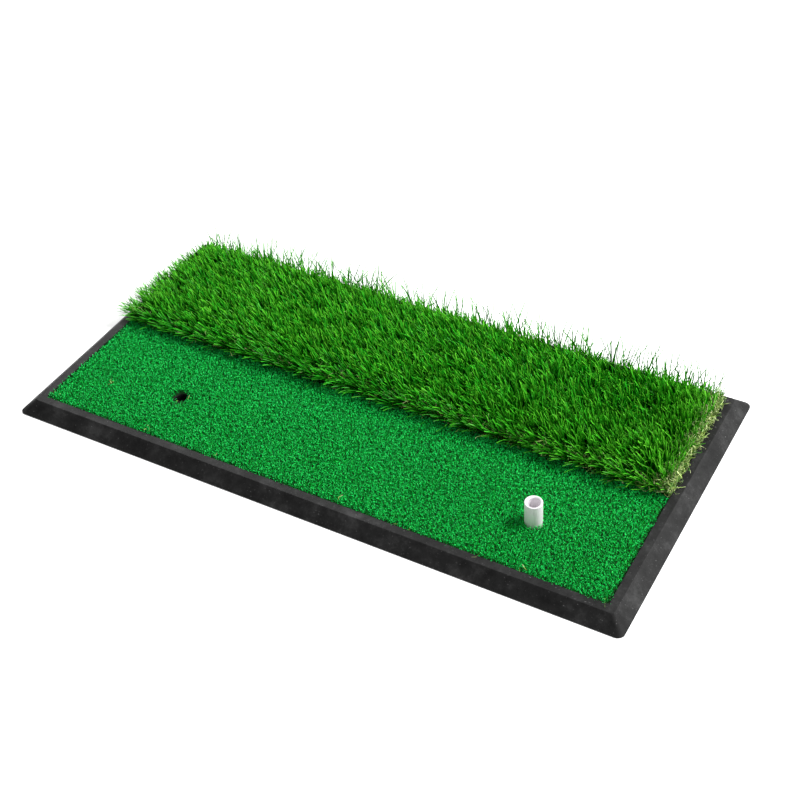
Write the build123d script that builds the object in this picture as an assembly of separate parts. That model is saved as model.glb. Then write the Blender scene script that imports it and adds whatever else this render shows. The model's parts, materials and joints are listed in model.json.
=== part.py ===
from build123d import *
import os

# A golf hitting mat. Millimetres, +Z up, +X along the long side, +Y towards the long-pile rough.
# The origin is the centre of the base's underside, which stands on the floor.

# Rubber base
MAT_LENGTH = 626.0
MAT_WIDTH = 312.0
BASE_HEIGHT = 12.0
LIP_HEIGHT = 1.0  # upright edge below the bevel
BEVEL_RUN = 12.5
FOOT_CORNER_R = 6.5
RIM_CORNER_R = 3.5
RIM_FLAT = 8.0
RIM_EDGE_R = 0.8
RECESS_FLOOR_Z = 6.0
RECESS_CORNER_R = 2.0
RECESS_EDGE_R = 0.4

# Grip grooves in the underside
GROOVE_PITCH = 30.0
GROOVE_WIDTH = 2.4
GROOVE_DEPTH = 0.8
GROOVE_BORDER = 17.0

# Tee holes
LEFT_HOLE = (-173.5, -78.0)
RIGHT_HOLE = (199.3, -78.0)
TEE_HOLE_R = 8.05
COUNTERBORE_R = 21.0
COUNTERBORE_DEPTH = 2.6
PANEL_HOLE_R = 8.6
PILE_HOLE_R = 8.9

# Turf panels, which lie in the recess side by side
PANEL_GAP = 1.0  # between a panel and the recess wall
SEAM_Y = 0.0
SEAM_GAP = 0.6
GLUE_T = 0.4
COATING_T = 1.0
CLOTH_T = 0.6
FAIRWAY_TOP_Z = 13.6
FAIRWAY_EDGE_CHAMFER = 1.6
THATCH_TOP_Z = 16.0
ROUGH_TOP_Z = 45.0
ROUGH_SPLAY_Z = 22.0  # height at which the edge blades lean out furthest
ROUGH_LEAN_FRONT = 13.0
ROUGH_LEAN_BACK = 12.0
ROUGH_LEAN_LEFT = 11.0
ROUGH_LEAN_RIGHT = 4.0
ROUGH_CROWN_INSET = 7.0

# Rubber tee
TEE_R = 8.0
TEE_BORE_R = 5.5
TEE_TOP_Z = 34.0
TEE_BOTTOM_Z = 0.2
TEE_CUP_CHAMFER = 1.5
FLANGE_R = 20.0
FLANGE_T = 2.2
FLANGE_EDGE_R = 0.6
FLEX_Z = 19.0  # height of the point that the tube bends about
FLEX_GAP = 0.15

# Derived
RECESS_INSET = BEVEL_RUN + RIM_FLAT
RECESS_LENGTH = MAT_LENGTH - 2 * RECESS_INSET
RECESS_WIDTH = MAT_WIDTH - 2 * RECESS_INSET
PANEL_HALF_LENGTH = RECESS_LENGTH / 2 - PANEL_GAP
PANEL_FRONT_Y = -(RECESS_WIDTH / 2 - PANEL_GAP)
PANEL_BACK_Y = RECESS_WIDTH / 2 - PANEL_GAP
FAIRWAY_BACK_Y = SEAM_Y - SEAM_GAP / 2
ROUGH_FRONT_Y = SEAM_Y + SEAM_GAP / 2
COATING_Z = RECESS_FLOOR_Z + GLUE_T
CLOTH_Z = COATING_Z + COATING_T
PILE_Z = CLOTH_Z + CLOTH_T
TEE_HOLES = (LEFT_HOLE, RIGHT_HOLE)


def upright_cylinder(place, radius, low_z, high_z):
    """A solid cylinder along Z at a place in plan, between two heights."""
    x, y = place
    return Pos(x, y, low_z) * extrude(Circle(radius), amount=high_z - low_z)


def slab(low, high):
    """A rectangular block between two opposite corners."""
    size = [b - a for a, b in zip(low, high)]
    middle = [(a + b) / 2 for a, b in zip(low, high)]
    return Pos(*middle) * Box(*size)


def without_holes(solid, radius):
    """A turf layer with both tee holes punched through it."""
    for hole in TEE_HOLES:
        solid = solid - upright_cylinder(hole, radius, 0, ROUGH_TOP_Z)
    return solid


def grip_grooves():
    """The square grid of shallow grooves in the underside."""
    half_length = MAT_LENGTH / 2 - GROOVE_BORDER
    half_width = MAT_WIDTH / 2 - GROOVE_BORDER
    across = int(half_length // GROOVE_PITCH)
    along = int(half_width // GROOVE_PITCH)
    groove_across = Box(GROOVE_WIDTH, 2 * half_width, 2 * GROOVE_DEPTH)
    groove_along = Box(2 * half_length, GROOVE_WIDTH, 2 * GROOVE_DEPTH)
    grooves = [Pos(i * GROOVE_PITCH, 0, 0) * groove_across for i in range(-across, across + 1)]
    grooves += [Pos(0, i * GROOVE_PITCH, 0) * groove_along for i in range(-along, along + 1)]
    return grooves


def make_rubber_base():
    """The tray: upright lip, bevel, flat rim, turf recess, two tee holes with flange seats."""
    foot = RectangleRounded(MAT_LENGTH, MAT_WIDTH, FOOT_CORNER_R)
    rim = RectangleRounded(MAT_LENGTH - 2 * BEVEL_RUN, MAT_WIDTH - 2 * BEVEL_RUN, RIM_CORNER_R)
    lip = extrude(foot, amount=LIP_HEIGHT)
    bevel = loft([Pos(0, 0, LIP_HEIGHT) * foot, Pos(0, 0, BASE_HEIGHT) * rim])
    base = lip + bevel
    base = fillet(base.faces().sort_by(Axis.Z)[-1].outer_wire().edges(), RIM_EDGE_R)
    recess = RectangleRounded(RECESS_LENGTH, RECESS_WIDTH, RECESS_CORNER_R)
    base = base - Pos(0, 0, RECESS_FLOOR_Z) * extrude(recess, amount=BASE_HEIGHT)
    rim_face = base.faces().filter_by(Axis.Z).sort_by(Axis.Z)[-1]
    base = fillet(rim_face.inner_wires()[0].edges(), RECESS_EDGE_R)
    for groove in grip_grooves():
        base = base - groove
    for hole in TEE_HOLES:
        base = base - upright_cylinder(hole, COUNTERBORE_R, -1, COUNTERBORE_DEPTH)
        base = base - upright_cylinder(hole, TEE_HOLE_R, -1, BASE_HEIGHT)
    return base


def make_fairway_layer(low_z, high_z):
    """A flat layer of the front panel with its tee holes."""
    low = (-PANEL_HALF_LENGTH, PANEL_FRONT_Y, low_z)
    high = (PANEL_HALF_LENGTH, FAIRWAY_BACK_Y, high_z)
    return without_holes(slab(low, high), PANEL_HOLE_R)


def make_fairway_pile():
    """The short pile as one block, with its frayed top edges as a chamfer."""
    low = (-PANEL_HALF_LENGTH, PANEL_FRONT_Y, PILE_Z)
    high = (PANEL_HALF_LENGTH, FAIRWAY_BACK_Y, FAIRWAY_TOP_Z)
    block = slab(low, high)
    block = chamfer(block.faces().sort_by(Axis.Z)[-1].edges(), FAIRWAY_EDGE_CHAMFER)
    return without_holes(block, PILE_HOLE_R)


def make_rough_layer(low_z, high_z):
    """A flat layer of the back panel."""
    low = (-PANEL_HALF_LENGTH, ROUGH_FRONT_Y, low_z)
    high = (PANEL_HALF_LENGTH, PANEL_BACK_Y, high_z)
    return slab(low, high)


def splayed_outline(low, high, lean_low, lean_high):
    """Section of the long pile: upright in the thatch, leaning out above it, drawn in at the crown."""
    return [
        (low - lean_low / 2, THATCH_TOP_Z),
        (low - lean_low, ROUGH_SPLAY_Z),
        (low + ROUGH_CROWN_INSET - lean_low / 2, ROUGH_TOP_Z),
        (high - ROUGH_CROWN_INSET + lean_high / 2, ROUGH_TOP_Z),
        (high + lean_high, ROUGH_SPLAY_Z),
        (high + lean_high / 2, THATCH_TOP_Z),
    ]


def splayed_prism(plane, outline, half_depth):
    """A splayed section, extruded to both sides of its plane."""
    section = plane * make_face(Polyline(outline, close=True))
    return extrude(section, amount=half_depth, both=True)


def make_rough_pile():
    """The long blades above the thatch as one splayed block."""
    front_to_back = splayed_outline(ROUGH_FRONT_Y, PANEL_BACK_Y, ROUGH_LEAN_FRONT, ROUGH_LEAN_BACK)
    side_to_side = splayed_outline(-PANEL_HALF_LENGTH, PANEL_HALF_LENGTH, ROUGH_LEAN_LEFT, ROUGH_LEAN_RIGHT)
    seen_from_side = splayed_prism(Plane.YZ, front_to_back, MAT_LENGTH)
    seen_from_front = splayed_prism(Plane.XZ, side_to_side, MAT_WIDTH)
    return seen_from_side & seen_from_front


def make_tee_foot():
    """The tee's flange and the part of its tube that stands in the hole, up to the flexing place."""
    shank_top = FLEX_Z - TEE_R - FLEX_GAP
    flange = upright_cylinder(RIGHT_HOLE, FLANGE_R, TEE_BOTTOM_Z, TEE_BOTTOM_Z + FLANGE_T)
    flange = fillet(flange.edges(), FLANGE_EDGE_R)
    shank = upright_cylinder(RIGHT_HOLE, TEE_R, TEE_BOTTOM_Z + FLANGE_T / 2, shank_top)
    bore = upright_cylinder(RIGHT_HOLE, TEE_BORE_R, TEE_BOTTOM_Z - 1, shank_top + 1)
    return flange + shank - bore


def make_tee_tube():
    """The tee's standing tube, with a ball cup at the top and a round end to bend on at the bottom."""
    x, y = RIGHT_HOLE
    knuckle = Pos(x, y, FLEX_Z) * Sphere(TEE_R)
    tube = upright_cylinder(RIGHT_HOLE, TEE_R, FLEX_Z, TEE_TOP_Z)
    bore = upright_cylinder(RIGHT_HOLE, TEE_BORE_R, 0, TEE_TOP_Z + 1)
    standing = knuckle + tube - bore
    cup_edge = standing.edges().filter_by(GeomType.CIRCLE).group_by(Axis.Z)[-1].sort_by(SortBy.RADIUS)[0]
    return chamfer(cup_edge, TEE_CUP_CHAMFER)


PARTS = {
    "rubber_base": make_rubber_base(),
    "fairway_glue": make_fairway_layer(RECESS_FLOOR_Z, COATING_Z),
    "fairway_coating": make_fairway_layer(COATING_Z, CLOTH_Z),
    "fairway_cloth": make_fairway_layer(CLOTH_Z, PILE_Z),
    "fairway_pile": make_fairway_pile(),
    "rough_glue": make_rough_layer(RECESS_FLOOR_Z, COATING_Z),
    "rough_coating": make_rough_layer(COATING_Z, CLOTH_Z),
    "rough_cloth": make_rough_layer(CLOTH_Z, PILE_Z),
    "rough_thatch": make_rough_layer(PILE_Z, THATCH_TOP_Z),
    "rough_pile": make_rough_pile(),
    "tee_foot": make_tee_foot(),
    "tee_tube": make_tee_tube(),
}

os.makedirs("parts", exist_ok=True)
for name, solid in PARTS.items():
    export_step(solid, f"parts/{name}.step")
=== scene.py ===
import json
import math

import bpy
import numpy as np
from mathutils import Matrix, Vector


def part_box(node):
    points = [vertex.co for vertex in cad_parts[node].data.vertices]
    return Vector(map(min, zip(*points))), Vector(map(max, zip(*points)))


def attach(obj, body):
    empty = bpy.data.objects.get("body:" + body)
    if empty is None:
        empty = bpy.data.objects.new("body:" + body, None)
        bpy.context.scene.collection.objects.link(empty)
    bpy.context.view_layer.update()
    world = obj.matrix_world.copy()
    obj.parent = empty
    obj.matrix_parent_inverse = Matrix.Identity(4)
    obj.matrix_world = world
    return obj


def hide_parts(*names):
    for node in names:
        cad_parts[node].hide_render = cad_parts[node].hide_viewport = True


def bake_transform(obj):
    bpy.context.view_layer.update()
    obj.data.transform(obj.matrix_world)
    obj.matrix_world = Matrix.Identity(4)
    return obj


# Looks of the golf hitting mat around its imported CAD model. Blender units are metres. The yarn and the
# tee are laid out in millimetres and scaled when their meshes are made.
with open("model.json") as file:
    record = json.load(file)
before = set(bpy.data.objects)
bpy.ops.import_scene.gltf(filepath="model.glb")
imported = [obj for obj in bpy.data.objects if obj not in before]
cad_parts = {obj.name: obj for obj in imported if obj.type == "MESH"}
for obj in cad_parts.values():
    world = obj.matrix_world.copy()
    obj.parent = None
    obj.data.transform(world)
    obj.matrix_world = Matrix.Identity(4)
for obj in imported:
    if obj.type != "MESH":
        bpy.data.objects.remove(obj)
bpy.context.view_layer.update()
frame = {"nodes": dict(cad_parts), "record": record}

MM = 0.001
SEED = 4117

# Yarn is coloured by a palette map: U runs from a strand's root to its tip, V is the strand's own shade.
# Along U the colours go from dark to bright: painted shade low in the pile and painted light on the tips.
PALETTE_LAYER = "OFBake"
PALETTE_MARGIN = 0.02
PALETTE_HALF_ROW = 0.004
SHADE_CYCLES = 7.3  # how often the strands' darkness repeats over the range of shades

# Fairway pile: short curled yarn
FAIRWAY_PITCH = 1.20
FAIRWAY_JITTER = 0.55
FAIRWAY_BORDER_LOW = (0.9, 0.9)  # from the pile's left and front sides to the first stitches
FAIRWAY_BORDER_HIGH = (0.8, 0.2)  # from the last stitches to its right and back sides, at least
FAIRWAY_ROWS = 7  # points along a strand
FAIRWAY_LEAN = 0.30
FAIRWAY_HEIGHT = (4.7, 6.3)
FAIRWAY_CURL_R = (0.50, 0.95)
FAIRWAY_TURNS = (0.8, 1.5)
FAIRWAY_WIDTH = (0.50, 0.75)
FAIRWAY_PIECES = 4
FAIRWAY_CUT_MARGIN = 1.0  # how far the outermost pieces reach past the panel
CURL_GROWTH = 3  # a strand has its full curl from a third of its length on
CURL_SIDE_ALONG = 0.8  # how far a curled ribbon's width lies along its axis
CURL_SIDE_AROUND = 0.6  # and how far away from it

# Rough pile: long flat blades in stitched tufts
TUFT_COLUMNS = 94
TUFT_ROWS = 15
TUFT_RADIUS = 2.8
TUFT_BORDER_LOW = (2.5, 2.8)  # from the panel's left and front sides to the first tufts
TUFT_BORDER_HIGH = (2.5, 1.8)  # and from the last tufts to its right and back sides
TUFT_JITTER = (2.4, 3.4)
ROOT_BORDER = 0.3  # blades are rooted at least this far in from the panel's sides
ROOT_BORDER_RIGHT = 2.5  # and this far at the cut right end
BLADES_PER_TUFT = 15
BLADE_ROWS = 7
BLADE_LENGTH = (23.0, 33.0)
BLADE_WIDTH = (0.85, 1.35)
BLADE_FOLD = 0.22  # depth of a blade's V, as a share of its width
BLADE_TAPER = 0.50  # share of its width that a blade loses towards its tip
LEAN_LIMIT_RIGHT = 0.05  # lean out over the cut right end
BLADE_CLEARANCE = 0.7  # least height of a blade over what it rests on
CLUMP_LEAN = (0.36, 0.42)  # how much neighbouring tufts lean together
CLUMP_SIZE = (24, 22)
TUFT_LEAN = (0.10, 0.12)  # how much each tuft leans by itself
BLADE_ROOT_LEAN = (0.15, 0.60)  # lean at a blade's root, as a share of its tip's
BLADE_WANDER = 0.40  # how much its heading changes, in radians
BLADE_TWIST = 0.75  # how much its face is turned at the root
BLADE_TWIST_MORE = 0.50  # and how much more at the tip
ROUGH_PIECES = 4
ROUGH_CUT_MARGIN = 5.0

# Changes of the rough along the mat, which is neat on the left and loose on the right. Each one starts
# at an X and takes a length.
LOOSENING = (-150.0, 300.0)
SLACKENING = (20.0, 120.0)
WISP_SLACKENING = (-50.0, 250.0)
WARMING = (40.0, 200.0)

# Wisps: stray blades over the back edge
WISP_TUFTS = 190
WISPS_PER_TUFT = 3
WISP_LENGTH = (30.0, 46.0)
WISP_WIDTH = (0.75, 1.15)
WISP_BORDER_X = 3.0
WISP_BORDER_BACK = 1.5
WISP_DEPTH = 4.0  # how far in from the back edge they stand
WISP_JITTER = (2.0, 1.0)
WISP_LEAN_BACK = 0.54  # mean lean over the back edge, in radians
WISP_LEAN_LIMIT = 1.0  # and the largest one

# Thatch: thin tangled yarn between the blades' roots, with ends standing out along the panel's cut edges
THATCH_ROWS = 9
THATCH_BEND = 0.62  # how much a fibre turns from one point to the next, in radians
THATCH_LENGTH = (7.0, 17.0)
THATCH_WIDTH = (0.32, 0.70)
THATCH_SPREAD = 2600  # fibres all over the panel
THATCH_DEPTH = 4.0  # how far in from a cut edge the thatch that is seen there starts
THATCH_EDGES = {"right": 2300, "front": 2600, "left": 350, "back": 450}  # fibres along each edge
THATCH_REACH_LOW = np.array([1.5, 8.0, 0.0])  # how far it stands out of the panel at the left and front
THATCH_REACH_HIGH = np.array([1.5, 2.5, 0.0])  # and at the right and back
THATCH_ESCAPES = 0.022  # share of the fibres that stand straight out
THATCH_ESCAPE_REACH = 6.0  # how many times as far those may reach
THATCH_LOW = (0.2, 4.5)  # height of the fibres' starts over the cloth
THATCH_PILED = 5.5  # how much higher they start along a cut edge
THATCH_PILED_RIGHT = 5.5  # and how much more at the right
THATCH_PILED_FRONT = 3.0  # and at the front
THATCH_OUTWARD = 0.15  # how much a fibre at a cut edge heads out of the panel
THATCH_ESCAPE_OUTWARD = 3.0  # and how much one of those does
THATCH_RISE = 0.8
THATCH_CLEARANCE = 0.4

# Loose cut ends of yarn on the mat: the middle of an area, half its size in plan and the number of ends
LOOSE_YARN = [
    ((-247.0, -92.0, 14.2), (3.0, 1.0), 4),
    ((-287.0, -131.5, 14.0), (3.0, 2.0), 2),
    ((287.5, -132.0, 14.0), (2.0, 1.5), 2),
    ((215.0, -134.0, 13.6), (5.0, 1.0), 2),
    ((-20.0, -134.0, 13.6), (220.0, 1.0), 7),
    ((-173.0, -76.0, 14.0), (12.0, 12.0), 2),
    ((0.0, 67.0, 26.0), (270.0, 50.0), 50),
]
LOOSE_LENGTH = (3.0, 10.0)
LOOSE_HALF_HEIGHT = 0.2
LOOSE_HEADING = (1, 1, 0.3)  # they lie nearly flat
LOOSE_SHADE = (0.4, 1.0)

# Tee: its bore, cup and flange as in the CAD model, with a softer lip and a fillet
TEE_TURN = 96  # points round it
TEE_HEIGHTS = 60  # points up its side
TEE_BORE_R = 5.5
TEE_CUP = 1.5
TEE_CUP_MIDDLE = (0.45, 0.5)  # the cup's middle ring, as shares of its width and depth
TEE_LIP_R = 0.7
TEE_LIP_GAP = 0.3  # straight part left under the lip
TEE_FLANGE_T = 2.2
TEE_FLANGE_EDGE_R = 0.6
TEE_FILLET_R = 0.5

# Camera and studio
CAMERA_PLACE = (0.54926, -0.82855, 0.87456)
CAMERA_AZIMUTH = 32.32
CAMERA_ELEVATION = 41.06
CAMERA_ROLL = -4.47
CAMERA_LENS = 62.607
WORLD_STRENGTH = 0.38
FLOOR_SIZE = 14.0
FLOOR_GLOW = 0.30
PAINTED_SHADE_SHEET_SIZE = (0.60, 0.29)  # a nearly black sheet under the mat: painted shade down the tee holes, without the floor's glow
PAINTED_SHADE_SHEET_HEIGHT = 0.05  # in millimetres

# Places on the mat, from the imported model
CLOTH_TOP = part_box("fairway_cloth")[1].z / MM
FAIRWAY_LOW, FAIRWAY_HIGH = [np.array(corner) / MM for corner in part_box("fairway_pile")]
PANEL_LOW, PANEL_HIGH = [np.array(corner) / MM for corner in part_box("rough_thatch")]
RIM_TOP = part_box("rubber_base")[1].z / MM
mounts = {mount["name"]: mount for mount in frame["record"]["mounts"]}
LEFT_HOLE = np.array(mounts["tee_hole"]["pos_m"][:2]) / MM
RIGHT_HOLE = np.array(mounts["ball_seat"]["pos_m"][:2]) / MM

# Fairway yarn round the tee holes
PILE_HOLE_R = 8.7
HOLE_REACH = 2.0  # how far from a hole its yarn is affected
HOLE_OVERHANG = 0.1  # how far the yarn round the empty hole leans into it
TEE_PUSH = 0.2  # how far the tee pushes the yarn beside it outwards


# ---------------------------------------------------------------- strand meshes

def strand_mesh(name, points, sides, widths, fold, shades, material):
    """One mesh of many thin ribbons.

    points and sides are strands x rows x 3 in millimetres, widths is strands x rows, and shades is one
    number a strand. fold pushes the middle of the ribbon out of its plane, as a share of the width, and 0
    makes it flat.
    """
    strands, rows, _ = points.shape
    half = 0.5 * widths[..., None] * sides
    if fold:
        along = np.gradient(points, axis=1)
        out = np.cross(sides, along)
        out /= np.linalg.norm(out, axis=2, keepdims=True) + 1e-9
        columns = np.stack([points - half, points + fold * widths[..., None] * out, points + half], axis=2)
    else:
        columns = np.stack([points - half, points + half], axis=2)
    across = columns.shape[2]
    vertices = columns.reshape(-1, 3) * MM

    index = np.arange(strands * rows * across).reshape(strands, rows, across)
    quads = np.stack([index[:, :-1, :-1], index[:, :-1, 1:], index[:, 1:, 1:], index[:, 1:, :-1]], axis=-1)
    quads = quads.reshape(-1, 4)

    root_to_tip = np.linspace(PALETTE_MARGIN, 1 - PALETTE_MARGIN, rows)
    own_shade = PALETTE_MARGIN + (1 - 2 * PALETTE_MARGIN) * shades
    u = np.broadcast_to(root_to_tip[None, :, None], (strands, rows, across))
    spread = np.linspace(-PALETTE_HALF_ROW, PALETTE_HALF_ROW, across)
    v = np.broadcast_to(own_shade[:, None, None] + spread, (strands, rows, across))
    uv = np.stack([u.reshape(-1), v.reshape(-1)], axis=1)[quads.reshape(-1)]

    mesh = bpy.data.meshes.new(name)
    mesh.vertices.add(len(vertices))
    mesh.vertices.foreach_set("co", vertices.astype(np.float32).ravel())
    mesh.loops.add(quads.size)
    mesh.loops.foreach_set("vertex_index", quads.astype(np.int32).ravel())
    mesh.polygons.add(len(quads))
    mesh.polygons.foreach_set("loop_start", np.arange(0, quads.size, 4, dtype=np.int32))
    mesh.polygons.foreach_set("use_smooth", np.ones(len(quads), bool))
    layer = mesh.uv_layers.new(name=PALETTE_LAYER)
    layer.data.foreach_set("uv", uv.astype(np.float32).ravel())
    mesh.update(calc_edges=True)
    mesh.materials.append(material)
    piece = bpy.data.objects.new(name, mesh)
    bpy.context.scene.collection.objects.link(piece)
    return piece


def in_pieces(name, number, margin, root_x, strands, fold, material):
    """Strands, cut along the mat into pieces that each stay small enough to export whole.

    strands holds their points, sides, widths and shades.
    """
    limits = np.linspace(PANEL_LOW[0] - margin, PANEL_HIGH[0] + margin, number + 1)
    pieces = []
    for index, (low, high) in enumerate(zip(limits, limits[1:]), start=1):
        own = (root_x >= low) & (root_x < high)
        points, sides, widths, shades = [values[own] for values in strands]
        pieces.append(strand_mesh(f"{name}_{index}", points, sides, widths, fold, shades, material))
    return pieces


def unit(vectors):
    """The vectors, made 1 long."""
    return vectors / (np.linalg.norm(vectors, axis=-1, keepdims=True) + 1e-9)


def between(rng, limits, shape):
    """Random numbers between two limits."""
    return rng.uniform(limits[0], limits[1], shape)


def curly_strands(rng, roots, axes, heights, radii, turns, rows):
    """Helices of yarn that rise from their roots along their axes. Returns points and side vectors."""
    t = np.linspace(0, 1, rows)[None, :]
    axes = unit(axes)
    helper = np.where(np.abs(axes[:, :1]) < 0.8, [[1.0, 0, 0]], [[0, 1.0, 0]])
    first = unit(np.cross(axes, helper))
    second = np.cross(axes, first)
    start = rng.uniform(0, 2 * np.pi, (len(roots), 1))
    sense = rng.choice([-1.0, 1.0], (len(roots), 1))
    angle = start + sense * turns[:, None] * 2 * np.pi * t
    swell = radii[:, None] * np.minimum(1, t * CURL_GROWTH)
    round_axis = np.cos(angle)[..., None] * first[:, None] + np.sin(angle)[..., None] * second[:, None]
    rise = heights[:, None, None] * t[..., None] * axes[:, None]
    points = roots[:, None] + rise + swell[..., None] * round_axis
    sides = unit(CURL_SIDE_ALONG * axes[:, None] + CURL_SIDE_AROUND * round_axis)
    return points, sides


def tangled_strands(rng, starts, headings, lengths, bend, rows):
    """Fibres that turn at random from one point to the next. Returns points and side vectors."""
    count = len(starts)
    turns = rng.normal(0, bend, (count, rows, 3))
    turns[:, 0] = 0
    tangents = unit(unit(headings)[:, None] + np.cumsum(turns, axis=1))
    moves = tangents[:, :-1] * lengths[:, None, None] / (rows - 1)
    points = np.repeat(starts[:, None], rows, axis=1)
    points[:, 1:] += np.cumsum(moves, axis=1)
    helper = unit(rng.normal(0, 1, (count, 1, 3)))
    sides = unit(np.cross(tangents, helper))
    return points, sides


def resting(points, clearance):
    """The points, lifted where they would sink into the rim, the fairway or the cloth."""
    x, y, z = np.moveaxis(points, 2, 0)
    on_fairway = (y < PANEL_LOW[1]) & (y > FAIRWAY_LOW[1]) & (x > FAIRWAY_LOW[0]) & (x < FAIRWAY_HIGH[0])
    on_rough = (y >= PANEL_LOW[1]) & (y < PANEL_HIGH[1]) & (x > PANEL_LOW[0]) & (x < PANEL_HIGH[0])
    below = np.where(on_fairway, FAIRWAY_HIGH[2], np.where(on_rough, CLOTH_TOP, RIM_TOP))
    return np.stack([x, y, np.maximum(z, below + clearance)], axis=2)


# ---------------------------------------------------------------- fairway pile

def fairway_roots(rng):
    """Stitch places of the fairway yarn: a jittered grid with the tee holes left open."""
    first = FAIRWAY_LOW[:2] + FAIRWAY_BORDER_LOW
    last = FAIRWAY_HIGH[:2] - FAIRWAY_BORDER_HIGH
    across = np.arange(first[0], last[0], FAIRWAY_PITCH)
    along = np.arange(first[1], last[1], FAIRWAY_PITCH)
    x, y = [axis.ravel() for axis in np.meshgrid(across, along, indexing="ij")]
    x = x + rng.uniform(-FAIRWAY_JITTER, FAIRWAY_JITTER, x.size)
    y = y + rng.uniform(-FAIRWAY_JITTER, FAIRWAY_JITTER, y.size)
    roots = np.stack([x, y, np.full(x.size, CLOTH_TOP)], axis=1)
    clear = np.ones(x.size, bool)
    for hole in (LEFT_HOLE, RIGHT_HOLE):
        clear &= np.hypot(x - hole[0], y - hole[1]) > PILE_HOLE_R
    return roots[clear]


def towards_hole(roots, hole):
    """Vectors along the floor towards a tee hole, 1 long at its edge and 0 about 4 mm away from it."""
    offset = hole - roots[:, :2]
    distance = np.linalg.norm(offset, axis=1, keepdims=True)
    return offset / distance * near(distance - PILE_HOLE_R, HOLE_REACH)


def fairway_pile(material):
    """Short curled yarn all over the front panel."""
    rng = np.random.default_rng(SEED)
    roots = fairway_roots(rng)
    count = len(roots)
    axes = rng.normal(0, FAIRWAY_LEAN, (count, 3))
    axes[:, 2] = 1
    axes[:, :2] += HOLE_OVERHANG * towards_hole(roots, LEFT_HOLE)
    axes[:, :2] -= TEE_PUSH * towards_hole(roots, RIGHT_HOLE)
    heights = between(rng, FAIRWAY_HEIGHT, count)
    radii = between(rng, FAIRWAY_CURL_R, count)
    turns = between(rng, FAIRWAY_TURNS, count)
    points, sides = curly_strands(rng, roots, axes, heights, radii, turns, FAIRWAY_ROWS)
    widths = np.repeat(between(rng, FAIRWAY_WIDTH, (count, 1)), FAIRWAY_ROWS, axis=1)
    shades = rng.uniform(0, 1, count)
    strands = (points, sides, widths, shades)
    return in_pieces("fairway_yarn", FAIRWAY_PIECES, FAIRWAY_CUT_MARGIN, roots[:, 0], strands, 0, material)


# ---------------------------------------------------------------- rough pile

def smooth_noise(rng, x, y, cell):
    """Value noise over the rough panel, from -1 to 1, with bumps about one cell wide."""
    columns = int((PANEL_HIGH[0] - PANEL_LOW[0]) / cell) + 4
    rows = int((PANEL_HIGH[1] - PANEL_LOW[1]) / cell) + 4
    grid = rng.uniform(-1, 1, (columns, rows))
    gx = (x - PANEL_LOW[0]) / cell + 1
    gy = (y - PANEL_LOW[1]) / cell + 1
    column = np.clip(np.floor(gx).astype(int), 0, columns - 2)
    row = np.clip(np.floor(gy).astype(int), 0, rows - 2)
    fx = gx - column
    fy = gy - row
    fx = fx * fx * (3 - 2 * fx)
    fy = fy * fy * (3 - 2 * fy)
    low = grid[column, row] * (1 - fx) + grid[column + 1, row] * fx
    high = grid[column, row + 1] * (1 - fx) + grid[column + 1, row + 1] * fx
    return low * (1 - fy) + high * fy


def near(distance, reach):
    """1 at an edge, falling to 0 over about twice the reach."""
    return np.exp(-((distance / reach) ** 2))


def rising(x, start, length):
    """0 up to a start, rising to 1 over a length."""
    return np.clip((x - start) / length, 0, 1)


def side_distances(x, y):
    """Distances in from the rough panel's left, right, front and back sides."""
    return x - PANEL_LOW[0], PANEL_HIGH[0] - x, y - PANEL_LOW[1], PANEL_HIGH[1] - y


def brushed_lean(x, y):
    """How the rough has been brushed: a vector in plan whose length is the tips' lean in radians."""
    from_left, from_right, from_front, from_back = side_distances(x, y)
    front = near(from_front, 11.0)
    back = near(from_back, 9.0)
    left = near(from_left, 20.0) * (1 - y / PANEL_HIGH[1])
    right = near(from_right, 12.0)
    slack = rising(x, *SLACKENING) * (1 - front)
    lean_x = -0.58 - 0.40 * front + 0.15 * back - 0.40 * left + 0.20 * slack + 0.45 * right
    lean_y = -0.08 - 0.40 * front + 0.22 * back
    return lean_x, lean_y


def rough_tufts(rng):
    """Tufts of the rough: their X and Y, how loose each one is and the two parts of its lean."""
    low = PANEL_LOW[:2] + TUFT_BORDER_LOW
    high = PANEL_HIGH[:2] - TUFT_BORDER_HIGH
    columns = np.linspace(low[0], high[0], TUFT_COLUMNS)
    rows = np.linspace(low[1], high[1], TUFT_ROWS)
    x, y = [axis.ravel() for axis in np.meshgrid(columns, rows, indexing="ij")]
    x = x + rng.uniform(-TUFT_JITTER[0], TUFT_JITTER[0], x.size)
    y = y + rng.uniform(-TUFT_JITTER[1], TUFT_JITTER[1], y.size)
    loose = 0.45 + 0.55 * rising(x, *LOOSENING)
    calm = 1 - 0.6 * near(y - PANEL_LOW[1], 16.0)
    lean_x, lean_y = brushed_lean(x, y)
    clump_x = CLUMP_LEAN[0] * smooth_noise(rng, x, y, CLUMP_SIZE[0]) + rng.normal(0, TUFT_LEAN[0], x.size)
    clump_y = CLUMP_LEAN[1] * smooth_noise(rng, x, y, CLUMP_SIZE[1]) + rng.normal(0, TUFT_LEAN[1], x.size)
    return x, y, loose, lean_x + loose * calm * clump_x, lean_y + loose * calm * clump_y


def blade_lengths(rng, root_x, root_y):
    """Lengths of the blades: shorter along the right, front and back sides and in the back left corner."""
    from_left, from_right, from_front, from_back = side_distances(root_x, root_y)
    back_left = near(from_left, 20.0) * root_y / PANEL_HIGH[1]
    length = between(rng, BLADE_LENGTH, root_x.size)
    length *= 1 - 0.15 * near(from_right, 8.0) - 0.28 * back_left
    length *= 1 - 0.10 * near(from_front, 10.0) - 0.34 * near(from_back, 10.0)
    return length


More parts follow.
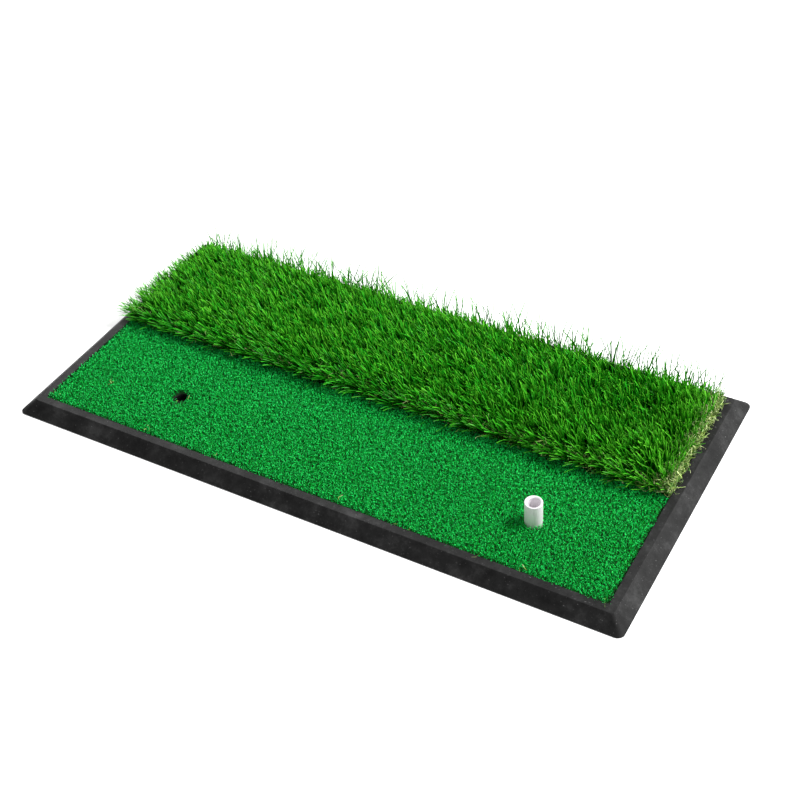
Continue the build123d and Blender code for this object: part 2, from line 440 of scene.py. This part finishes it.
def blade_shades(rng, root_x, root_y, loose):
    """Shades of the blades: cool along the front as painted shade, warm along the other sides and at the
    front right.
    """
    from_left, from_right, from_front, from_back = side_distances(root_x, root_y)
    shades = rng.uniform(0, 1, root_x.size) ** (0.8 + 0.6 * loose)
    # Blades at the front edge get darker, cool shades: painted shade of the pile standing behind them.
    shades *= 1 - 0.6 * near(from_front, 12.0)
    warm_sides = [
        0.9 * near(from_right, 34.0),
        0.7 * near(from_left, 22.0),
        0.95 * near(from_back, 13.0),
        0.45 * near(from_front, 46.0) * rising(root_x, *WARMING),
    ]
    return shades + (1 - shades) * np.maximum.reduce(warm_sides)


def rough_pile(material):
    """Long blades: each tuft leans with the brushed field, its clump and its own spread."""
    rng = np.random.default_rng(SEED + 1)
    tufts = rough_tufts(rng)
    tuft_x, tuft_y, loose, lean_x, lean_y = [np.repeat(values, BLADES_PER_TUFT) for values in tufts]
    count = tuft_x.size
    turn = rng.uniform(0, 2 * np.pi, count)
    reach = TUFT_RADIUS * np.sqrt(rng.uniform(0, 1, count))
    low_x, high_x = PANEL_LOW[0] + ROOT_BORDER, PANEL_HIGH[0] - ROOT_BORDER_RIGHT
    low_y, high_y = PANEL_LOW[1] + ROOT_BORDER, PANEL_HIGH[1] - ROOT_BORDER
    root_x = np.clip(tuft_x + reach * np.cos(turn), low_x, high_x)
    root_y = np.clip(tuft_y + reach * np.sin(turn), low_y, high_y)
    spread = 0.28 + 0.12 * loose
    lean_x = lean_x + rng.normal(0, 1, count) * spread
    lean_y = lean_y + rng.normal(0, 1, count) * spread
    from_right = PANEL_HIGH[0] - root_x
    excess = np.maximum(lean_x - LEAN_LIMIT_RIGHT, 0)
    lean_x = lean_x - excess * near(from_right, 8.0)
    length = blade_lengths(rng, root_x, root_y)
    width = between(rng, BLADE_WIDTH, count)
    points, sides, widths = bent_blades(rng, root_x, root_y, lean_x, lean_y, length, width)
    kept = rng.uniform(0, 1, count) > 0.75 * near(from_right, 5.0)
    shades = blade_shades(rng, root_x, root_y, loose)
    strands = [values[kept] for values in (points, sides, widths, shades)]
    root_x = root_x[kept]
    return in_pieces("rough_blades", ROUGH_PIECES, ROUGH_CUT_MARGIN, root_x, strands, BLADE_FOLD, material)


def rough_wisps(material):
    """Thin stray blades that stand up over the back edge, longer than the rest."""
    rng = np.random.default_rng(SEED + 7)
    count = WISP_TUFTS * WISPS_PER_TUFT

    def per_wisp(values):
        """The tufts' values, repeated for each of their wisps."""
        return np.repeat(values, WISPS_PER_TUFT)

    tuft_x = rng.uniform(PANEL_LOW[0] + WISP_BORDER_X, PANEL_HIGH[0] - WISP_BORDER_X, WISP_TUFTS)
    tuft_y = PANEL_HIGH[1] - np.abs(rng.normal(0, WISP_DEPTH, WISP_TUFTS)) - WISP_BORDER_BACK
    root_x = per_wisp(tuft_x) + rng.uniform(-WISP_JITTER[0], WISP_JITTER[0], count)
    root_y = per_wisp(tuft_y) + rng.uniform(-WISP_JITTER[1], WISP_JITTER[1], count)
    slack = rising(tuft_x, *WISP_SLACKENING)
    lean_x = per_wisp(0.35 * slack - 0.50 + rng.normal(0, 0.25, WISP_TUFTS)) + rng.normal(0, 0.42, count)
    lean_y = per_wisp(rng.normal(WISP_LEAN_BACK, 0.22, WISP_TUFTS)) + rng.normal(0, 0.26, count)
    lean_y = np.minimum(lean_y, WISP_LEAN_LIMIT)
    length = between(rng, WISP_LENGTH, count) * (1 - 0.2 * near(root_x - PANEL_LOW[0], 120.0))
    width = between(rng, WISP_WIDTH, count)
    points, sides, widths = bent_blades(rng, root_x, root_y, lean_x, lean_y, length, width)
    shades = rng.uniform(0, 1, count)
    return strand_mesh("rough_wisps", points, sides, widths, BLADE_FOLD, shades, material)


def bent_blades(rng, root_x, root_y, lean_x, lean_y, length, width):
    """Blades that bend from the root to their tip's lean and rest on what is below them.

    Returns their points, side vectors and widths.
    """
    count = root_x.size
    t = np.linspace(0, 1, BLADE_ROWS)[None, :]
    tip_lean = np.hypot(lean_x, lean_y)
    root_lean = tip_lean * between(rng, BLADE_ROOT_LEAN, count)
    leans = root_lean[:, None] + (tip_lean - root_lean)[:, None] * t
    headings = np.arctan2(lean_y, lean_x)[:, None] + rng.normal(0, BLADE_WANDER, (count, 1)) * t
    level_part = np.sin(leans)
    along = [level_part * np.cos(headings), level_part * np.sin(headings), np.cos(leans)]
    tangents = np.stack(along, axis=2)
    moves = tangents * length[:, None, None] / (BLADE_ROWS - 1)
    points = np.zeros((count, BLADE_ROWS, 3))
    points[:, 0] = np.stack([root_x, root_y, np.full(count, CLOTH_TOP)], axis=1)
    points[:, 1:] = points[:, :1] + np.cumsum(moves[:, :-1], axis=1)
    points[:, 2:] = resting(points[:, 2:], BLADE_CLEARANCE)

    level = np.stack([-np.sin(headings), np.cos(headings), np.zeros_like(headings)], axis=2)
    twist = rng.normal(0, BLADE_TWIST, (count, 1)) + rng.normal(0, BLADE_TWIST_MORE, (count, 1)) * t
    sides = np.cos(twist)[..., None] * level + np.sin(twist)[..., None] * np.cross(tangents, level)
    widths = width[:, None] * (1 - BLADE_TAPER * t ** 3)
    return points, sides, widths


def thatch_starts(rng):
    """Where the thatch fibres start, in plan, and which way each one stands out of the panel."""
    starts = [rng.uniform(PANEL_LOW[:2], PANEL_HIGH[:2], (THATCH_SPREAD, 2))]
    outward = [np.zeros((THATCH_SPREAD, 2))]
    sides = {
        "right": (0, PANEL_HIGH[0], 1),
        "left": (0, PANEL_LOW[0], -1),
        "front": (1, PANEL_LOW[1], -1),
        "back": (1, PANEL_HIGH[1], 1),
    }
    for edge, count in THATCH_EDGES.items():
        axis, place, sign = sides[edge]
        along = rng.uniform(PANEL_LOW[:2], PANEL_HIGH[:2], (count, 2))
        along[:, axis] = place - sign * np.abs(rng.normal(0, THATCH_DEPTH, count))
        starts.append(along)
        out = np.zeros((count, 2))
        out[:, axis] = sign
        outward.append(out)
    return np.concatenate(starts), np.concatenate(outward)


def folded_in(rng, points, escapes):
    """The points, with those outside a fibre's own reach in plan mirrored back in."""
    own_reach = rng.exponential(1.0, len(points))
    reach = np.where(escapes, THATCH_ESCAPE_REACH, own_reach)[:, None, None]
    low = PANEL_LOW - THATCH_REACH_LOW * reach
    high = PANEL_HIGH + THATCH_REACH_HIGH * reach
    folded = np.clip(points, 2 * low - points, 2 * high - points)
    folded[..., 2] = points[..., 2]
    return folded


def loose_yarn(rng):
    """Loose cut ends of yarn lying on the mat. Returns points and side vectors."""
    areas = []
    for middle, half, number in LOOSE_YARN:
        areas.append(rng.uniform(-1, 1, (number, 3)) * (*half, LOOSE_HALF_HEIGHT) + middle)
    places = np.concatenate(areas)
    headings = rng.normal(0, 1, places.shape) * LOOSE_HEADING
    lengths = between(rng, LOOSE_LENGTH, len(places))
    return tangled_strands(rng, places, headings, lengths, THATCH_BEND, THATCH_ROWS)


def thatch(material):
    """Thin tangled yarn low between the blades, thickest along the panel's cut edges and palest at the
    right and front ones.
    """
    rng = np.random.default_rng(SEED + 2)
    starts, outward = thatch_starts(rng)
    count = len(starts)
    at_edge = np.abs(outward).sum(axis=1)
    at_right = outward[:, 0].clip(0)
    at_front = (-outward[:, 1]).clip(0)
    piled = at_edge * THATCH_PILED + at_right * THATCH_PILED_RIGHT + at_front * THATCH_PILED_FRONT
    low = CLOTH_TOP + between(rng, THATCH_LOW, count) + piled * rng.uniform(0, 1, count)
    headings = rng.normal(0, 1, (count, 3))
    escapes = rng.uniform(0, 1, count) < THATCH_ESCAPES
    headings[:, :2] += np.where(escapes[:, None], THATCH_ESCAPE_OUTWARD, THATCH_OUTWARD) * outward
    headings[:, 2] = np.abs(headings[:, 2]) * THATCH_RISE
    lengths = between(rng, THATCH_LENGTH, count)
    places = np.column_stack([starts, low])
    points, sides = tangled_strands(rng, places, headings, lengths, THATCH_BEND, THATCH_ROWS)
    points = folded_in(rng, points, escapes)
    greenness = 4.0 - 3.0 * at_right - 1.8 * at_front
    shades = rng.uniform(0, 1, count) ** greenness

    loose_points, loose_sides = loose_yarn(rng)
    points = resting(np.concatenate([points, loose_points]), THATCH_CLEARANCE)
    sides = np.concatenate([sides, loose_sides])
    shades = np.concatenate([shades, between(rng, LOOSE_SHADE, len(loose_points))])
    widths = np.repeat(between(rng, THATCH_WIDTH, (len(shades), 1)), THATCH_ROWS, axis=1)
    return strand_mesh("rough_thatch_yarn", points, sides, widths, 0, shades, material)


# ---------------------------------------------------------------- tee

def tee_profile():
    """Half section of the tee as (radius, height), from the flange's underside round to the bore."""
    foot_low, foot_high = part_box("tee_foot")
    tube_low, tube_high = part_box("tee_tube")
    flange_r = (foot_high.x - foot_low.x) / 2 / MM
    tube_r = (tube_high.x - tube_low.x) / 2 / MM
    bottom = foot_low.z / MM
    top = tube_high.z / MM

    def arc(centre_r, centre_z, radius, start, end, steps):
        """Points on an arc between two angles in degrees."""
        turn = np.radians(np.linspace(start, end, steps))
        return [(centre_r + radius * math.cos(a), centre_z + radius * math.sin(a)) for a in turn]

    flange_top = bottom + TEE_FLANGE_T
    edge_r = flange_r - TEE_FLANGE_EDGE_R
    outline = [(TEE_BORE_R, bottom)]
    outline += arc(edge_r, bottom + TEE_FLANGE_EDGE_R, TEE_FLANGE_EDGE_R, -90, 0, 4)
    outline += arc(edge_r, flange_top - TEE_FLANGE_EDGE_R, TEE_FLANGE_EDGE_R, 0, 90, 4)
    outline += arc(tube_r + TEE_FILLET_R, flange_top + TEE_FILLET_R, TEE_FILLET_R, 270, 180, 4)
    heights = np.linspace(flange_top + 2 * TEE_FILLET_R, top - TEE_LIP_R - TEE_LIP_GAP, TEE_HEIGHTS)
    outline += [(tube_r, z) for z in heights]
    outline += arc(tube_r - TEE_LIP_R, top - TEE_LIP_R, TEE_LIP_R, 0, 90, 6)
    outline.append((TEE_BORE_R + TEE_CUP, top))
    outline.append((TEE_BORE_R + TEE_CUP * TEE_CUP_MIDDLE[0], top - TEE_CUP * TEE_CUP_MIDDLE[1]))
    outline.append((TEE_BORE_R, top - TEE_CUP))
    below_cup = heights[::-1][2:]
    outline += [(TEE_BORE_R, z) for z in below_cup]
    return outline


def make_tee(material):
    """The rubber tee as one moulding: flange, tube, ball cup and bore, turned about its axis."""
    outline = np.array(tee_profile())
    turn = np.linspace(0, 2 * np.pi, TEE_TURN, endpoint=False)
    ring = np.stack([np.cos(turn), np.sin(turn)], axis=1)
    places = outline[:, None, 0, None] * ring[None]
    heights = np.broadcast_to(outline[:, None, 1, None], (len(outline), TEE_TURN, 1))
    points = np.concatenate([places + RIGHT_HOLE, heights], axis=2).reshape(-1, 3) * MM
    faces = []
    for row in range(len(outline)):
        following = (row + 1) % len(outline)
        for column in range(TEE_TURN):
            beside = (column + 1) % TEE_TURN
            low, high = row * TEE_TURN, following * TEE_TURN
            faces.append((low + column, low + beside, high + beside, high + column))
    mesh = bpy.data.meshes.new("rubber_tee")
    mesh.from_pydata(points.tolist(), [], faces)
    mesh.shade_smooth()
    mesh.materials.append(material)
    piece = bpy.data.objects.new("rubber_tee", mesh)
    bpy.context.scene.collection.objects.link(piece)
    return piece


# ---------------------------------------------------------------- materials

def new_material(name, roughness, specular):
    """A principled material. Returns it with its nodes, links and shader."""
    material = bpy.data.materials.new(name)
    material.use_nodes = True
    nodes = material.node_tree.nodes
    shader = nodes["Principled BSDF"]
    shader.inputs["Roughness"].default_value = roughness
    shader.inputs["Specular IOR Level"].default_value = specular
    return material, nodes, material.node_tree.links, shader


def ramp(nodes, stops):
    """A colour ramp with a colour at each position."""
    node = nodes.new("ShaderNodeValToRGB")
    elements = node.color_ramp.elements
    while len(elements) < len(stops):
        elements.new(0.5)
    for element, (position, colour) in zip(elements, stops):
        element.position = position
        element.color = (*colour, 1)
    return node


def yarn_material(name, cool, warm, roughness, specular, contrast):
    """Yarn coloured by the palette map: cool and warm run from root to tip, mixed by the strand's shade.
    Their dark root end is painted shade low in the pile, their bright tip end painted light.

    contrast is how much darker than its colour a strand can be.
    """
    material, nodes, links, shader = new_material(name, roughness, specular)
    uv = nodes.new("ShaderNodeUVMap")
    uv.uv_map = PALETTE_LAYER
    split = nodes.new("ShaderNodeSeparateXYZ")
    links.new(uv.outputs["UV"], split.inputs["Vector"])
    cool_ramp = ramp(nodes, cool)
    warm_ramp = ramp(nodes, warm)
    links.new(split.outputs["X"], cool_ramp.inputs["Fac"])
    links.new(split.outputs["X"], warm_ramp.inputs["Fac"])
    mix = nodes.new("ShaderNodeMix")
    mix.data_type = "RGBA"
    links.new(split.outputs["Y"], mix.inputs["Factor"])
    links.new(cool_ramp.outputs["Color"], mix.inputs["A"])
    links.new(warm_ramp.outputs["Color"], mix.inputs["B"])
    repeat = nodes.new("ShaderNodeMath")
    repeat.operation = "MULTIPLY"
    repeat.inputs[1].default_value = SHADE_CYCLES
    links.new(split.outputs["Y"], repeat.inputs[0])
    cycle = nodes.new("ShaderNodeMath")
    cycle.operation = "FRACT"
    links.new(repeat.outputs["Value"], cycle.inputs[0])
    value = nodes.new("ShaderNodeMapRange")
    value.inputs["To Min"].default_value = 1 - contrast
    links.new(cycle.outputs["Value"], value.inputs["Value"])
    scaled = nodes.new("ShaderNodeVectorMath")
    scaled.operation = "SCALE"
    links.new(mix.outputs["Result"], scaled.inputs["Vector"])
    links.new(value.outputs["Result"], scaled.inputs["Scale"])
    links.new(scaled.outputs["Vector"], shader.inputs["Base Color"])
    return material


def noise(nodes, links, coordinates, scale, detail, roughness=0.5):
    """A noise texture over the object's own coordinates."""
    node = nodes.new("ShaderNodeTexNoise")
    node.inputs["Scale"].default_value = scale
    node.inputs["Detail"].default_value = detail
    node.inputs["Roughness"].default_value = roughness
    links.new(coordinates.outputs["Object"], node.inputs["Vector"])
    return node


def mixed(nodes, links, factor, low, high):
    """A colour mix by a factor socket. low and high are colours or sockets."""
    mix = nodes.new("ShaderNodeMix")
    mix.data_type = "RGBA"
    links.new(factor, mix.inputs["Factor"])
    for name, value in (("A", low), ("B", high)):
        if isinstance(value, tuple):
            mix.inputs[name].default_value = (*value, 1)
        else:
            links.new(value, mix.inputs[name])
    return mix.outputs["Result"]


def bumped(nodes, links, shader, height, distance, strength):
    """Bumps on a shader from a height socket."""
    bump = nodes.new("ShaderNodeBump")
    bump.inputs["Distance"].default_value = distance
    bump.inputs["Strength"].default_value = strength
    links.new(height, bump.inputs["Height"])
    links.new(bump.outputs["Normal"], shader.inputs["Normal"])


def rubber_material():
    """Matte moulded rubber: mottled dark grey with fine grain and pale dust specks."""
    material, nodes, links, shader = new_material("base_rubber", roughness=0.60, specular=0.24)
    place = nodes.new("ShaderNodeTexCoord")
    mottle = noise(nodes, links, place, scale=38, detail=9, roughness=0.76)
    greys = [(0.36, 0.000), (0.52, 0.009), (0.68, 0.034)]
    mottle_ramp = ramp(nodes, [(position, (grey, grey, grey)) for position, grey in greys])
    links.new(mottle.outputs["Fac"], mottle_ramp.inputs["Fac"])
    dust = noise(nodes, links, place, scale=620, detail=2, roughness=0.6)
    dust_ramp = ramp(nodes, [(0.68, (0, 0, 0)), (0.76, (0.7, 0.7, 0.7))])
    links.new(dust.outputs["Fac"], dust_ramp.inputs["Fac"])
    dusty = dust_ramp.outputs["Color"]
    colour = mixed(nodes, links, dusty, mottle_ramp.outputs["Color"], (0.16, 0.16, 0.16))
    links.new(colour, shader.inputs["Base Color"])
    grain = noise(nodes, links, place, scale=1100, detail=4, roughness=0.7)
    bumped(nodes, links, shader, grain.outputs["Fac"], distance=0.00016, strength=0.7)
    return material


def tee_material():
    """Pale satin rubber with a faint mottled bloom."""
    material, nodes, links, shader = new_material("tee_rubber", roughness=0.42, specular=0.35)
    place = nodes.new("ShaderNodeTexCoord")
    bloom = noise(nodes, links, place, scale=180, detail=3)
    colour = mixed(nodes, links, bloom.outputs["Fac"], (0.79, 0.755, 0.785), (0.86, 0.825, 0.855))
    links.new(colour, shader.inputs["Base Color"])
    grain = noise(nodes, links, place, scale=2200, detail=2)
    bumped(nodes, links, shader, grain.outputs["Fac"], distance=0.00004, strength=0.4)
    return material


def layer_material(name, dark, pale, scale, roughness):
    """A plain backing layer with a fine uneven colour."""
    material, nodes, links, shader = new_material(name, roughness, specular=0.2)
    place = nodes.new("ShaderNodeTexCoord")
    speckle = noise(nodes, links, place, scale, detail=3)
    links.new(mixed(nodes, links, speckle.outputs["Fac"], dark, pale), shader.inputs["Base Color"])
    bumped(nodes, links, shader, speckle.outputs["Fac"], distance=0.0002, strength=0.5)
    return material


def assign(node, material):
    """Give a CAD node a material."""
    slots = frame["nodes"][node].material_slots
    if not slots:
        frame["nodes"][node].data.materials.append(material)
    for slot in slots:
        slot.material = material


# ---------------------------------------------------------------- studio

def make_floor():
    """A pale paper floor with a faint glow, and a nearly black sheet without glow where the mat covers it,
    which paints the shade seen down the tee holes.
    """
    bpy.ops.mesh.primitive_plane_add(size=FLOOR_SIZE)
    floor = bpy.context.object
    floor.name = "floor"
    material, _, _, shader = new_material("floor_paper", roughness=0.9, specular=0.0)
    shader.inputs["Base Color"].default_value = (0.93, 0.93, 0.93, 1)
    shader.inputs["Emission Color"].default_value = (1, 1, 1, 1)
    shader.inputs["Emission Strength"].default_value = FLOOR_GLOW
    floor.data.materials.append(material)

    bpy.ops.mesh.primitive_plane_add(size=1, location=(0, 0, PAINTED_SHADE_SHEET_HEIGHT * MM))
    painted_shade_sheet = bpy.context.object
    painted_shade_sheet.name = "painted_shade_sheet"
    painted_shade_sheet.scale = (*PAINTED_SHADE_SHEET_SIZE, 1)
    shaded, _, _, shader = new_material("painted_shade_paper", roughness=0.9, specular=0.0)
    # Nearly black: painted shade under the mat, seen through the tee holes.
    shader.inputs["Base Color"].default_value = (0.04, 0.04, 0.04, 1)
    painted_shade_sheet.data.materials.append(shaded)


def area_light(name, place, size, energy):
    """A round light that shines on the middle of the mat."""
    data = bpy.data.lights.new(name, "AREA")
    data.shape = "DISK"
    data.size = size
    data.energy = energy
    light = bpy.data.objects.new(name, data)
    light.location = place
    light.rotation_euler = (-Vector(place)).to_track_quat("-Z", "Y").to_euler()
    bpy.context.scene.collection.objects.link(light)


def make_studio():
    """Soft white surroundings, a key light from the right and a weaker one from behind."""
    world = bpy.data.worlds.new("studio")
    world.use_nodes = True
    background = world.node_tree.nodes["Background"]
    background.inputs["Color"].default_value = (1, 1, 1, 1)
    background.inputs["Strength"].default_value = WORLD_STRENGTH
    bpy.context.scene.world = world
    area_light("key", place=(1.3, 0.8, 1.6), size=0.8, energy=72)
    area_light("back", place=(-1.5, 1.3, 1.3), size=1.0, energy=26)
    bpy.context.scene.view_settings.view_transform = "Standard"


def make_camera():
    """The camera, turned about the vertical, then tilted and rolled."""
    data = bpy.data.cameras.new("camera")
    data.lens = CAMERA_LENS
    data.clip_start = 0.01
    camera = bpy.data.objects.new("camera", data)
    turn = Matrix.Rotation(math.radians(CAMERA_AZIMUTH), 4, "Z")
    tilt = Matrix.Rotation(math.radians(90 - CAMERA_ELEVATION), 4, "X")
    roll = Matrix.Rotation(math.radians(CAMERA_ROLL), 4, "Z")
    camera.matrix_world = Matrix.Translation(CAMERA_PLACE) @ turn @ tilt @ roll
    bpy.context.scene.collection.objects.link(camera)
    bpy.context.scene.camera = camera


make_camera()
make_studio()
make_floor()

rubber = rubber_material()
assign("rubber_base", rubber)
glue = layer_material(
    "glue",
    dark=(0.012, 0.011, 0.010),
    pale=(0.030, 0.028, 0.025),
    scale=300,
    roughness=0.5,
)
coating = layer_material(
    "turf_coating",
    dark=(0.02, 0.02, 0.02),
    pale=(0.05, 0.05, 0.05),
    scale=400,
    roughness=0.7,
)
cloth = layer_material(
    "turf_cloth",
    dark=(0.004, 0.030, 0.006),
    pale=(0.010, 0.060, 0.012),
    scale=900,
    roughness=0.8,
)
for panel in ("fairway", "rough"):
    assign(f"{panel}_glue", glue)
    assign(f"{panel}_coating", coating)
    assign(f"{panel}_cloth", cloth)

# In every yarn's ramps the dark root end is painted shade low in the pile and the bright tip end is
# painted light.
fairway_yarn = yarn_material(
    "fairway_yarn",
    cool=[(0.0, (0.000, 0.200, 0.020)), (0.45, (0.000, 0.59, 0.075)), (1.0, (0.030, 0.94, 0.21))],
    warm=[(0.0, (0.000, 0.220, 0.016)), (0.45, (0.000, 0.67, 0.065)), (1.0, (0.045, 0.98, 0.18))],
    roughness=0.32,
    specular=0.08,
    contrast=0.56,
)
rough_yarn = yarn_material(
    "rough_yarn",
    cool=[(0.0, (0.000, 0.035, 0.000)), (0.60, (0.000, 0.155, 0.000)), (1.0, (0.025, 0.64, 0.025))],
    warm=[(0.0, (0.000, 0.060, 0.000)), (0.60, (0.004, 0.29, 0.000)), (1.0, (0.250, 0.92, 0.055))],
    roughness=0.28,
    specular=0.09,
    contrast=0.62,
)
# Darker and greyer than the rough's yarn: painted shade of thin blades seen edge-on against the light.
wisp_yarn = yarn_material(
    "wisp_yarn",
    cool=[(0.0, (0.000, 0.060, 0.000)), (0.55, (0.010, 0.260, 0.000)), (1.0, (0.070, 0.460, 0.035))],
    warm=[(0.0, (0.002, 0.080, 0.000)), (0.55, (0.050, 0.400, 0.005)), (1.0, (0.220, 0.640, 0.070))],
    roughness=0.34,
    specular=0.10,
    contrast=0.5,
)
thatch_yarn = yarn_material(
    "thatch_yarn",
    cool=[(0.0, (0.001, 0.040, 0.001)), (0.5, (0.015, 0.150, 0.003)), (1.0, (0.080, 0.380, 0.020))],
    warm=[(0.0, (0.220, 0.380, 0.050)), (0.5, (0.640, 0.880, 0.200)), (1.0, (1.000, 1.000, 0.600))],
    roughness=0.36,
    specular=0.16,
    contrast=0.62,
)

for piece in fairway_pile(fairway_yarn):
    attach(piece, "mat")
    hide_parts("fairway_pile")
for piece in rough_pile(rough_yarn):
    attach(piece, "mat")
    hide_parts("rough_pile")
wisps = rough_wisps(wisp_yarn)
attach(wisps, "mat")
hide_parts("rough_pile")
thatch_piece = thatch(thatch_yarn)
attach(thatch_piece, "mat")
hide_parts("rough_thatch")

tee = make_tee(tee_material())
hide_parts("tee_foot", "tee_tube")
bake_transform(tee)
